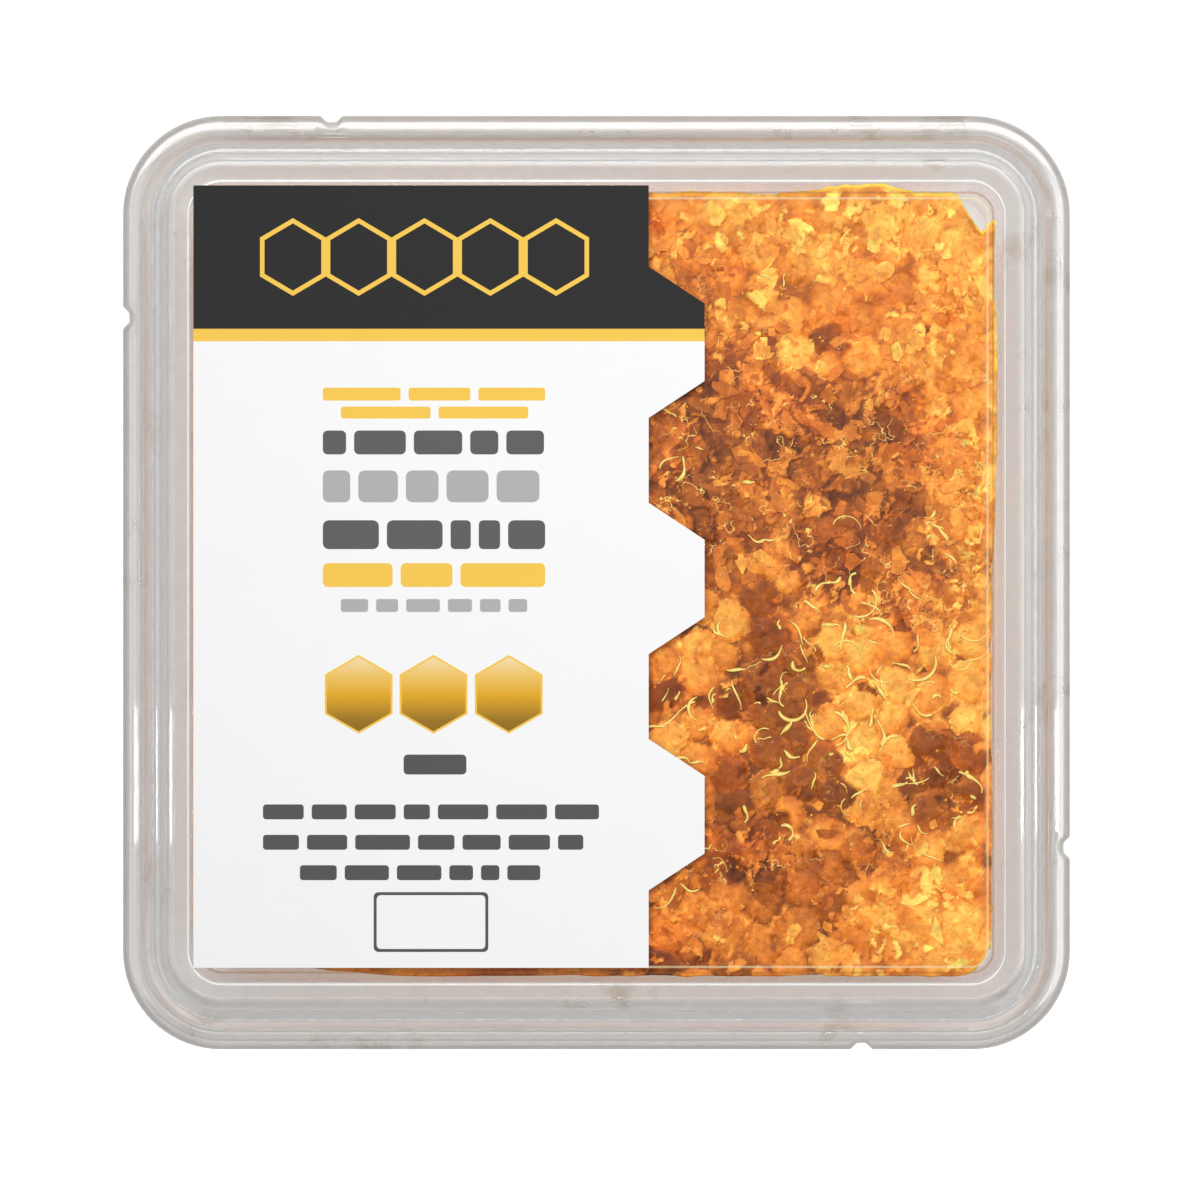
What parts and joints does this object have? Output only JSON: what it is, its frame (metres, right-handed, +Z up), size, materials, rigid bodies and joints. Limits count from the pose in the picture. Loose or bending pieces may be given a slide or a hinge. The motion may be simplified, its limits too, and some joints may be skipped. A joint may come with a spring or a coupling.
{
  "type": "honeycomb pack",
  "caption": "Square clear plastic tub holding a slab of cut honeycomb, with a clear press-on lid and a card label over the left part of the lid.",
  "frame": {"origin": "middle of the pack on the surface that it rests on", "axes": "+Z up through the lid, +X to the right of the label, +Y to the top of the label"},
  "size_m": [0.127, 0.1252, 0.0302],
  "materials": {
    "clear_tub": "clear, slightly cloudy moulded plastic",
    "clear_lid": "clear, slightly cloudy moulded plastic",
    "card": "printed card, smooth",
    "comb": "beeswax cells wet with honey"
  },
  "bodies": {
    "root": {"tub": "clear_tub", "lid": "clear_lid", "label": "card", "comb": "comb"}
  },
  "joints": []
}
